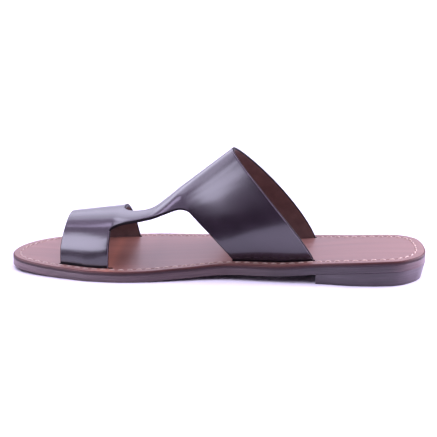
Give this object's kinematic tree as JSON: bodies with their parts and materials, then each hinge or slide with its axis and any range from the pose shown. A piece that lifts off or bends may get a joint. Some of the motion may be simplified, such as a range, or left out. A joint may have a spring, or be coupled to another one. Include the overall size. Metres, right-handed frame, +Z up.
{
  "type": "leather slide sandal",
  "caption": "Open leather slide sandal for a right foot: toe and instep straps joined by a bridge, slotted into a leather insole on a sole with a low heel.",
  "frame": {"origin": "centre of the sandal's box, on the floor", "axes": "+X from toe to heel, +Y from the medial to the lateral side of the foot, +Z up"},
  "size_m": [0.28, 0.0973, 0.0837],
  "materials": {
    "upper_leather": "smooth polished dark aubergine brown leather with dark cut edges",
    "insole_leather": "satin pinkish brown leather, sewn near its edge",
    "sole_leather": "waxed mauve brown cut leather edge",
    "heel_leather": "waxed mauve brown stacked leather"
  },
  "bodies": {
    "root": {"upper": "upper_leather", "insole": "insole_leather", "outsole": "sole_leather", "heel": "heel_leather"}
  },
  "joints": []
}
